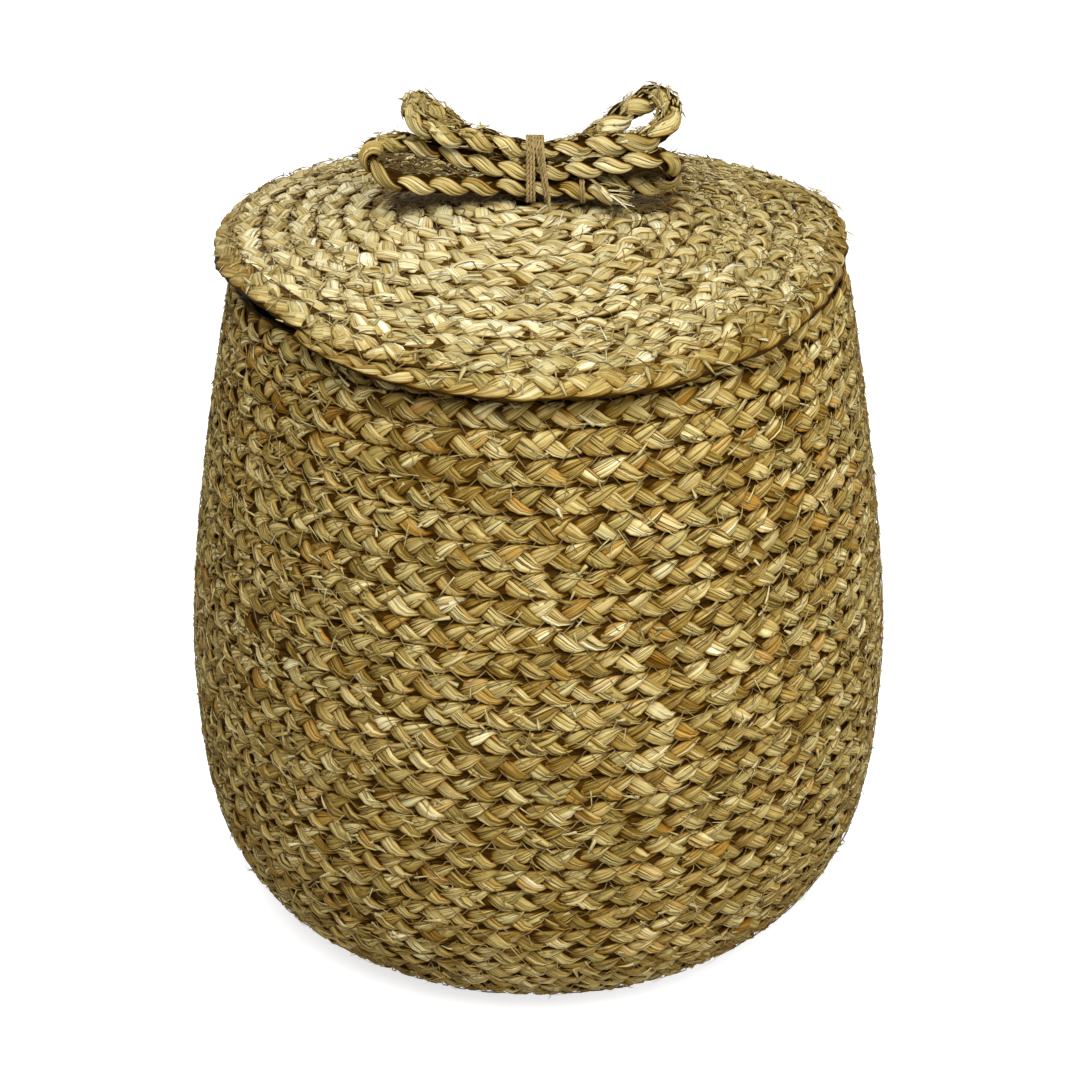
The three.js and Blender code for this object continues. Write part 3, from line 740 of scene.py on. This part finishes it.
bow = SimpleNamespace(
    diameter=10 * mm, gap=0.4 * mm, lowSlot=0.8, shift=5 * mm, forward=8 * mm,
    waistHalf=7.5 * mm, longLeft=80 * mm, longRight=64 * mm, shortLeft=60 * mm, shortRight=61 * mm,
    shownTail=36 * mm, tuckedTail=9 * mm,
    period=46 * mm, sway=3.7 * mm, lift=2.0 * mm, width=7.7 * mm, thickness=3.0 * mm, steps=30,
    # the dark cord of painted shade in the plait's middle: its width and flatness
    tip=0.18, tilt=math.radians(50), fuller=0.2, waistShare=0.85, core=4.5 * mm, shadeCordFlat=1.3,
    toneSpread=0.07, bladeSpread=0.1, oldest=0.9, turnOver=2.2,
    # painted shade: where it sets in and is full towards the plait's middle, and weights in the slits and at the
    # margins
    shaded=(-1.0, -0.55), cutDepth=0.8, marginDepth=0.85,
    phase=(0, 0.2, 50 * mm), swaying=(1, 0.25 * mm, 20 * mm), lifting=(2, 0.25 * mm, 15 * mm),
    widening=(5, 0.1, 22 * mm), thickening=(6, 0.08, 19 * mm))
slotStep = bow.diameter + bow.gap
slotDepth = slotStep * math.sqrt(3) / 4
slots = {
    "frontLow": (-slotDepth, -bow.lowSlot * slotStep), "frontMiddle": (-slotDepth, 0),
    "frontTop": (-slotDepth, slotStep), "backLow": (slotDepth, -slotStep / 2), "backTop": (slotDepth, slotStep / 2),
}
bowLoops = [  # side, reach, from and to slot, then eye and end in plait diameters, depth first
    (-1, bow.longLeft, "frontLow", "frontMiddle", (-0.9, -0.42), (-0.2, 1.2)),
    (1, bow.longRight, "frontMiddle", "backLow", (-0.7, 0.85), (-0.3, 0.25)),
    (-1, bow.shortLeft, "backLow", "frontTop", (0.9, 0.5), (0.5, 2.5)),
    (1, bow.shortRight, "frontTop", "backTop", (-0.8, -0.75), (0.1, 2.0)),
]


def loopPath(side, reach, start, stop, eye, end, steps=120):
    # out to the reach and back as half a sine, opened by a full sine and bent away at its far end
    t = np.linspace(0, 1, steps)
    out = np.sin(math.pi * t)
    swell = 1.3 * out * np.sin(fullTurn * t)
    ease = t * t * (3 - 2 * t)
    place = [slots[start][k] * (1 - ease) + slots[stop][k] * ease
             + bow.diameter * (eye[k] * swell + end[k] * out ** 1.2) for k in range(2)]
    return np.stack([side * (bow.waistHalf + (reach - bow.waistHalf) * out), *place], axis=-1)


def tailPath(side, reach, start, end, steps=30):
    # straight out from the waist, bent away by the square of the way along
    t = np.linspace(0, 1, steps)
    place = [slots[start][k] + bow.diameter * end[k] * t * t for k in range(2)]
    return np.stack([side * (bow.waistHalf + (reach - bow.waistHalf) * t), *place], axis=-1)


shownTail = tailPath(1, bow.shownTail, "frontLow", (-0.7, -0.2))
tuckedTail = tailPath(-1, bow.tuckedTail, "backTop", (0, 0.1))
bowPath = np.concatenate([shownTail[::-1]] + [loopPath(*loop) for loop in bowLoops] + [tuckedTail])
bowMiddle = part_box("bow_rope")[1].z - bowPath[:, 2].max() - bow.diameter / 2
bowOrigin = np.array([lid.shift + bow.shift, -bow.forward, bowMiddle])


def evenPath(path, step):
    # the path walked in even steps, with its corners eased
    run = np.concatenate([[0], np.cumsum(np.linalg.norm(np.diff(path, axis=0), axis=1))])
    keep = np.concatenate([[True], np.diff(run) > 1e-7])
    walk = np.arange(0, run[-1], step)
    even = np.stack([np.interp(walk, run[keep], path[keep, k]) for k in range(3)], axis=-1)
    window = np.hanning(11) / np.hanning(11).sum()
    for k in range(3):
        even[5:-5, k] = np.convolve(even[:, k], window, mode="valid")
    return walk, even


def bowFrame(step):
    # the bow's path with its level and upright directions and how full the plait is: drawn in at the waist,
    # fuller on the two raised loops
    walk, path = evenPath(bowPath + bowOrigin, step)
    tangent = unit(np.gradient(path, axis=0))
    level = unit(np.array([0.0, 1.0, 0.0]) - tangent * tangent[:, 1:2])
    fromWaist = np.abs(path[:, 0] - bowOrigin[0])
    full = bow.waistShare + (1 - bow.waistShare) * eased(fromWaist, 6 * mm, 20 * mm)
    full = full + bow.fuller * eased(path[:, 2] - bowOrigin[2], 9 * mm, 20 * mm)
    return SimpleNamespace(walk=walk, path=path, level=level, upright=np.cross(level, tangent), full=full)


def bowStrand(number, seed):
    # the plait's strands about the bow's path: the sway, level from front to back, goes as the sine of the
    # phase, the lift as the sine of twice that, and the flat side turns to face out all the way round
    line = bowFrame(bow.period / bow.steps)
    walk, full = line.walk, line.full
    phase = fullTurn * (walk / bow.period + number / 3) + vary(bow.phase, seed, walk)
    sway = full * bow.sway * np.sin(phase) + vary(bow.swaying, seed, walk)
    lift = -full * bow.lift * np.sin(2 * phase) + vary(bow.lifting, seed, walk)
    centre = line.path + sway[:, None] * line.level + lift[:, None] * line.upright
    facing = math.pi / 2 * (1 - np.tanh(bow.turnOver * np.sin(phase))) + bow.tilt * np.cos(phase)
    outLevel, outUp = np.cos(facing)[:, None], -np.sin(facing)[:, None]
    normal = outLevel * line.level + outUp * line.upright
    lens = bow.tip + (1 - bow.tip) * np.abs(np.sin(phase)) ** 0.9
    width = full * bow.width * lens * (1 + vary(bow.widening, seed, walk))
    thickness = full * bow.thickness * (0.7 + 0.3 * lens) * (1 + vary(bow.thickening, seed, walk))
    x, z, cut = leafSection(seed, walk, width, thickness)
    tone, age = leafValues(seed + 7, phase - leaf.hidden, bow.toneSpread, bow.bladeSpread)
    # painted shade: darker towards the plait's middle, in the slits and at the leaves' margins
    reachLevel = (sway[:, None] + z * outLevel - x * outUp) / (bow.sway + bow.thickness / 2)
    reachUp = (lift[:, None] + z * outUp + x * outLevel) / (bow.lift + bow.thickness / 2)
    sunk = eased(-np.hypot(reachLevel, reachUp), *bow.shaded)
    sunk = sunk + bow.cutDepth * cut + bow.marginDepth * leafMargin
    return sweep(centre, normal, x, z, walk / bow.period + 31 * number + seed, np.clip(tone, 0.02, 0.98),
                 bow.oldest * age, np.clip(sunk, 0, 1))


def bowShadeCord():
    # painted shade: a dark oval cord in the middle of the plait, seen where its strands part
    line = bowFrame(3 * mm)
    x, z = roundSection((line.full * bow.core / 2)[:, None], 8)
    return sweep(line.path, line.upright, bow.shadeCordFlat * x, z, line.walk / bow.period, 0.1, 0.5, 0.9)


bowTubes = [bowStrand(k, 1301 + 100 * k) for k in range(3)] + [bowShadeCord()]
meshPiece("bow_plait", bowTubes, bowGrass, "lid", ["bow_rope"])


# the binding: twine round the bow's waist

binding = SimpleNamespace(
    turns=6, diameter=1.6 * mm, seat=0.6 * mm, ply=5 * mm, plySize=0.29, plyVary=0.12,
    # where each front pass lies, at the top and at the foot of the waist
    high=np.array([-5.6, -4.2, -2.8, -1.4, 0.0, 1.4]) * mm,
    low=np.array([-5.6, -4.1, -2.6, 3.2, 4.7, 6.2]) * mm)


def waistLine(angle, distance):
    # the line round the five runs at the waist, at a distance from their middles, where it faces an angle
    facing = np.stack([np.cos(angle), np.sin(angle)], axis=-1)
    middles = np.array(list(slots.values()))
    outer = middles[np.argmax(facing @ middles.T, axis=1)]
    return outer + distance * facing


def bindingPath():
    # up through the lid from the back knot, round the waist so that the front passes lie in two bundles that
    # part towards the lid, and down to the front knot
    turns = binding.turns - 0.5
    angle = np.linspace(0, turns * fullTurn, 900)
    ring = waistLine(angle, bow.diameter / 2 + binding.seat + binding.diameter / 2)
    passes = np.arange(binding.turns)
    knots = np.stack([passes - 0.3, passes + 0.3], axis=-1).ravel()
    high, low = (np.interp(angle / fullTurn - 0.5, knots, np.repeat(end, 2)) for end in (binding.high, binding.low))
    share = eased(-ring[:, 1], -slotStep * 1.5, slotStep * 1.5)
    x = high * (1 - share) + low * share
    middle = np.stack([x, ring[:, 0], ring[:, 1]], axis=-1) + bowOrigin
    rise = np.linspace(0, 1, 24)[:, None]
    legs = []
    for name, end in (("binding_knot_1", middle[0]), ("binding_knot_2", middle[-1])):
        foot = np.array(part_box(name)).mean(axis=0)
        legs.append(foot * (1 - rise) + end * rise)
    return np.concatenate([legs[0][:-1], middle, legs[1][::-1][1:]])


def twinePiece(name, path, diameter, seed, replaced):
    # two plies that wind about the path, half a turn apart
    walk, path = evenPath(path, 0.5 * mm)
    tangent = unit(np.gradient(path, axis=0))
    hint = unit(np.cross(tangent, np.array([0.31, 0.52, 0.79])))
    other = np.cross(tangent, hint)
    made = []
    for k in range(2):
        angle = fullTurn * walk / binding.ply + k * math.pi
        centre = path + diameter / 4 * (np.cos(angle)[:, None] * hint + np.sin(angle)[:, None] * other)
        radius = diameter * binding.plySize * (1 + binding.plyVary * drift(seed + k, walk, 3 * mm))
        x, z = roundSection(radius[:, None], 6)
        tone = np.clip(0.5 + 0.4 * drift(seed + 9 + k, walk, 6 * mm), 0, 1)[:-1, None]
        made.append(sweep(centre, hint, x, z, walk / (10 * mm) + k, tone, 0.5, 0.0))
    meshPiece(name, made, bowTwine, "lid", [replaced])


def knotPath(name):
    # a stopper knot: the twine wound in a small flat ball inside the knot's own box
    low, high = (np.array(corner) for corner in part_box(name))
    middle, half = (low + high) / 2, (high - low) / 2 - binding.diameter / 2
    t = np.linspace(0, 1, 120)
    turn = t * 5 * fullTurn
    tilt = math.pi * (t - 0.5)
    wide = np.cos(tilt * 0.8)
    return middle + np.stack([np.cos(turn) * wide, np.sin(turn) * wide, np.sin(tilt)], axis=-1) * half


tie = SimpleNamespace(
    diameter=1.3 * mm, turns=2.5, place=0.45, spread=3.2 * mm, loose=13 * mm,
    aim=np.array([0.55, -0.75, 0.1]), sag=np.array([0, 0, 0.28]))


def tiePath():
    # two and a half turns round the shown end of the plait, then a loose end that lies out over the lid
    low, high = (np.array(corner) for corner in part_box("tail_tie"))
    middle = bowOrigin + shownTail[int(tie.place * len(shownTail))]
    radius = (high - low)[2] / 2 - tie.diameter / 2
    t = np.linspace(0, 1, 200)
    angle = t * tie.turns * fullTurn - math.pi / 2
    x = tie.spread * (t - 0.5)
    wound = np.stack([x, radius * np.cos(angle), radius * np.sin(angle)], axis=-1) + middle
    u = np.linspace(0, 1, 30)[1:, None]
    end = wound[-1] + u * tie.aim * tie.loose - u * u * tie.sag * tie.loose
    return np.concatenate([wound, end])


twinePiece("bow_twine", bindingPath(), binding.diameter, 1701, "bow_binding")
for number in (1, 2):
    knot = f"binding_knot_{number}"
    twinePiece(f"stopper_knot_{number}", knotPath(knot), binding.diameter, 1750 + number, knot)
twinePiece("tail_thread", tiePath(), tie.diameter, 1781, "tail_tie")


# loose blades and fibres

loose = SimpleNamespace(
    wall=1800, scraps=2800, lid=400, lidScraps=1000, bow=160, stubs=620, fuzz=900,
    cut=20, eye=300)


def scattered(surface, places, thetas, seed, length, width, swing, slant, tone=(0.3, 0.75)):
    # loose blades that start in the plait and lie out of it at a low slant, swung away from the row's way
    random = np.random.default_rng(seed)
    number = len(places)
    sunk = random.uniform(0.4, 1.2, number) * mm
    root = surface(places, thetas, sunk)
    out = unit(surface(places, thetas, np.full(number, -2 * mm)) - root)
    along = unit(surface(places, thetas + 0.002, sunk) - root)
    across = np.cross(out, along)
    turn = random.normal(0, swing, number) + np.where(random.random(number) < 0.5, 0, math.pi)
    heading = np.cos(turn)[:, None] * along + np.sin(turn)[:, None] * across
    heading = heading + out * random.uniform(0.05, slant, number)[:, None]
    return looseBlades(random, root, heading, out, length, width, (-0.35, 0.05), tone)


def roughPlaces(number, seed):
    # places on the wall for scraps of leaf, denser on the left and on the upper right, where it is most worn
    random = np.random.default_rng(seed)
    place = random.uniform(150 * mm, basket.table.length - 6 * mm, 8 * number)
    theta = random.uniform(0, fullTurn, 8 * number)
    worn = bell(theta, math.radians(192), 3) + 0.5 * bell(theta, math.radians(-15), 8)
    weight = 0.12 + worn * eased(place, 200 * mm, 340 * mm)
    keep = random.choice(8 * number, number, replace=False, p=weight / weight.sum())
    return place[keep], theta[keep]


rng = np.random.default_rng(2001)
wallPlace = rng.uniform(150 * mm, basket.table.length - 8 * mm, loose.wall)
wallTheta = rng.uniform(0, fullTurn, loose.wall)
wallFibres = scattered(basketSurface, wallPlace, wallTheta, 2002, (5, 13), (0.35, 0.9), 0.9, 0.4)
wallScraps = scattered(basketSurface, *roughPlaces(loose.scraps, 2004), 2005, (4, 10), (0.9, 2.6), 0.6, 0.22)
meshPiece("wall_fibres", [wallFibres, wallScraps], basketGrass, "basket")
lidPlace = lid.table.length * np.sqrt(rng.uniform(0.05, 0.98, loose.lid))
lidTheta = rng.uniform(0, fullTurn, loose.lid)
lidFibres = scattered(lidSurface, lidPlace, lidTheta, 2003, (5, 12), (0.35, 0.9), 0.9, 0.4)
lidPlace = lid.table.length * np.sqrt(rng.uniform(0.3, 0.98, loose.lidScraps))
spread = rng.uniform(-1, 1, loose.lidScraps)
lidTheta = math.radians(35) + math.pi * np.sign(spread) * np.abs(spread) ** 1.7
lidScraps = scattered(lidSurface, lidPlace, lidTheta, 2006, (4, 9), (1.0, 3.0), 0.9, 0.2, (0.1, 0.5))


def cutBlades():
    # blades that spread from the plait's cut end
    random = np.random.default_rng(2010)
    number = loose.cut
    aim = unit(shownTail[-1] - shownTail[-4])
    root = bowOrigin + shownTail[-1] - aim * 5 * mm
    root = root + random.normal(0, 1.9, (number, 3)) * mm * np.array([0.3, 1, 1])
    heading = aim + random.normal(0, 0.16, (number, 3))
    return looseBlades(random, root, heading, upward, (7, 15), (1.6, 3.4), (-0.05, 0.15), (0.45, 0.9), "normal")


def bowFibres(seed, number, least, length, width, slant):
    # loosened leaf ends along the bow, most of them on the upper side of the two raised loops; least is the
    # share that the low loops get
    random = np.random.default_rng(seed)
    line = bowFrame(1 * mm)
    path = line.path
    raised = np.clip((path[:, 2] - bowOrigin[2] - 7 * mm) / (12 * mm), least, 1)
    pick = random.choice(len(path), number, p=raised / raised.sum())
    aim = unit(np.gradient(path, axis=0))[pick]
    around = random.normal(0, 1, (number, 3)) + np.array([0, 0, 1.1])
    out = unit(around - aim * np.sum(around * aim, axis=1, keepdims=True))
    way = np.where(random.random(number) < 0.5, -1.0, 1.0)[:, None]
    heading = way * aim + out * random.uniform(0.05, slant, (number, 1)) + random.normal(0, 0.25, (number, 3))
    root = path[pick] + out * line.full[pick, None] * random.uniform(3.4, 5.8, (number, 1)) * mm
    return looseBlades(random, root, heading, out, length, width, (-0.35, 0.05), (0.15, 0.65))


def eyeFuzzAndShade():
    # brown fibres that lie on the lid under the bow, denser towards its middle line; dark, they also stand in for
    # the bow's shadow there as painted shade
    random = np.random.default_rng(2030)
    number = loose.fuzz
    x = bowOrigin[0] - lid.shift + random.uniform(-68, 58, number) * mm
    y = bowOrigin[1] + random.normal(9, 5, number) * mm
    root = lidSurface(np.hypot(x, y), np.arctan2(y, x), np.full(number, 0.5 * mm))
    swing = random.uniform(0, fullTurn, number)
    heading = np.stack([np.cos(swing), 0.6 * np.sin(swing), random.uniform(0.02, 0.22, number)], axis=-1)
    return looseBlades(random, root, heading, upward, (5, 13), (0.4, 1.1), (-0.3, 0.1), (0, 0.3))


def loopFuzzAndShade(loop, seed):
    # brown fibres inside one loop, dark enough to fill its eye with painted shade: each starts a share of the way
    # between its two runs, a little behind them
    random = np.random.default_rng(seed)
    number = loose.eye
    path = loopPath(*loop) + bowOrigin
    pick = random.integers(12, 56, number)
    share = random.uniform(0.1, 0.9, (number, 1))
    root = path[pick] * (1 - share) + path[len(path) - 1 - pick] * share
    root = root + np.stack([np.zeros(number), random.normal(3, 2, number), np.zeros(number)], axis=-1) * mm
    heading = np.stack([random.choice([-1.0, 1.0], number), random.normal(0, 0.3, number),
                        random.normal(0, 0.45, number)], axis=-1)
    return looseBlades(random, root, heading, (0.0, -1.0, 0.3), (4, 11), (0.5, 1.3), (0, 0.15), (0, 0.3), "normal")


edgeLeaf = SimpleNamespace(
    start=math.radians(44), stop=math.radians(12), width=9 * mm, thickness=1.6 * mm, blades=2,
    frayed=12, flare=1.2 * mm, length=160 * mm)


def edgeBlades():
    # long flat leaves that lie along the lid's curled edge, one outside the other, and fray at their right end
    made = []
    edge = lid.table.length
    for k in range(edgeLeaf.blades):
        share = np.linspace(0.14 * k, 1 - 0.05 * k, 60)
        theta = edgeLeaf.start * (1 - share) + edgeLeaf.stop * share
        walk = share * edgeLeaf.length
        place = edge - (9 + 3 * k) * mm + 1.2 * mm * drift(2101 + k, walk, 18 * mm)
        depth = (1.5 + 0.3 * k) * mm - 0.5 * mm * drift(2111 + k, walk, 23 * mm)
        depth = depth - edgeLeaf.flare * eased(share, 0.55, 1) ** 2
        centre, hint = onSurface(lid, place, theta, depth)
        ends = 0.35 + 0.65 * eased(np.minimum(share, 1 - share), 0, 0.12)
        width = edgeLeaf.width * ends * (0.75 + 0.25 * drift(2121 + k, walk, 31 * mm))
        x, z, cut = leafSection(2131 + 50 * k, walk, width, edgeLeaf.thickness * ends)
        tone = 0.4 + 0.1 * drift(2141 + k, walk, 40 * mm)[:-1, None]
        # the slits darkened as painted shade
        made.append(sweep(centre, hint, x, z, walk / (40 * mm) + 5 * k, tone, 0.75, 0.6 * cut))
    random = np.random.default_rng(2151)
    number = edgeLeaf.frayed
    theta = edgeLeaf.stop + random.uniform(0, 0.14, number)
    place = edge - random.uniform(3, 14, number) * mm
    root = lidSurface(place, theta, -random.uniform(0, 1.2, number) * mm)
    out = unit(lidSurface(place, theta, np.full(number, -7 * mm)) - root)
    heading = np.array([0.85, -0.4, 0.0]) + random.normal(0, 0.22, (number, 3))
    made.append(looseBlades(random, root, heading, out, (4, 8), (1.0, 2.8), (-0.2, 0.15), (0.3, 0.6)))
    return made


meshPiece("lid_edge_leaves", edgeBlades(), lidGrass, "lid")
meshPiece("lid_fibres", [lidFibres, lidScraps], lidGrass, "lid")
bowEnds = [bowFibres(2020, loose.stubs, 0.03, (2.5, 6.5), (0.7, 2.4), 0.22),
           bowFibres(2021, loose.bow, 0.12, (4, 10), (0.4, 1.0), 0.6)]
meshPiece("bow_fibres", [cutBlades()] + bowEnds, bowGrass, "lid")
# dark thread colour: fibres and painted shade under the bow and in the low loops' eyes
fuzz = [eyeFuzzAndShade(), loopFuzzAndShade(bowLoops[0], 2041), loopFuzzAndShade(bowLoops[1], 2042)]
meshPiece("bow_fuzz_and_shade", fuzz, sewingThread, "lid")


# floor, light and camera

stage = SimpleNamespace(
    floorSize=12.0, floorColour=(0.6, 0.6, 0.6), floorGlow=0.72, world=0.26, lightSize=1.0,
    # lights: name, place, height that it aims at, power
    lights=[
        ("key", (-0.1, -1.15, 1.6), 0.2, 32.0), ("fill", (0.9, -0.9, 1.1), 0.2, 13.5),
        ("back", (-0.5, 1.3, 0.9), 0.15, 9.0)])
view = SimpleNamespace(lens=78.83, sensor=36, pitch=math.radians(27.8), aim=(0.0008, 0.0, 0.193), distance=1.2213)


def makeFloor():
    # a plain pale floor that glows towards the camera alone, so that it shows white and keeps the shadow
    mesh = bpy.data.meshes.new("studio_floor")
    half = stage.floorSize / 2
    corners = [(-half, -half, 0), (half, -half, 0), (half, half, 0), (-half, half, 0)]
    mesh.from_pydata(corners, [], [(0, 1, 2, 3)])
    floor = bpy.data.objects.new("studio_floor", mesh)
    scene.collection.objects.link(floor)
    material, tree, shader = newMaterial("studioFloor")
    seen = node(tree, "LightPath").outputs["Is Camera Ray"]
    glow = math2(tree, "MULTIPLY", seen, stage.floorGlow)
    connect(tree, shader, {"Base Color": stage.floorColour, "Roughness": 0.9, "Emission Color": (1, 1, 1),
                           "Emission Strength": glow})
    mesh.materials.append(material)


def makeWorld():
    # dim white light all round, seen as full white
    world = bpy.data.worlds.new("studio")
    scene.world = world
    world.use_nodes = True
    tree = world.node_tree
    dim, white = tree.nodes["Background"], node(tree, "Background")
    for light, strength in ((dim, stage.world), (white, 1.0)):
        connect(tree, light, {"Color": (1, 1, 1), "Strength": strength})
    rays = node(tree, "LightPath").outputs
    seen = math2(tree, "MAXIMUM", rays["Is Camera Ray"], rays["Is Glossy Ray"])
    seen = math2(tree, "MAXIMUM", seen, rays["Is Transmission Ray"])
    mix = node(tree, "MixShader", {0: seen, 1: dim.outputs[0], 2: white.outputs[0]})
    connect(tree, tree.nodes["World Output"], {"Surface": mix.outputs[0]})


def softLight(name, place, aimHeight, power):
    # a round area light turned to a point on the object's axis
    light = bpy.data.lights.new(name, "AREA")
    light.shape = "DISK"
    light.size = stage.lightSize
    light.energy = power
    lamp = bpy.data.objects.new(name, light)
    scene.collection.objects.link(lamp)
    lamp.location = place
    direction = np.array((0, 0, aimHeight)) - np.array(place)
    lamp.rotation_euler = mathutils.Vector(direction).to_track_quat("-Z", "Y").to_euler()


def makeCamera():
    # the camera looks along +Y and down by the pitch, at a distance from its aim
    camera = bpy.data.cameras.new("camera")
    camera.lens = view.lens
    camera.sensor_width = view.sensor
    eye = bpy.data.objects.new("camera", camera)
    scene.collection.objects.link(eye)
    tilt = view.pitch
    x, y, z = view.aim
    eye.location = (x, y - view.distance * math.cos(tilt), z + view.distance * math.sin(tilt))
    eye.rotation_euler = (math.pi / 2 - tilt, 0, 0)
    scene.camera = eye


makeFloor()
makeWorld()
for light in stage.lights:
    softLight(*light)
makeCamera()
scene.view_settings.view_transform = "Standard"
print("stage ready")
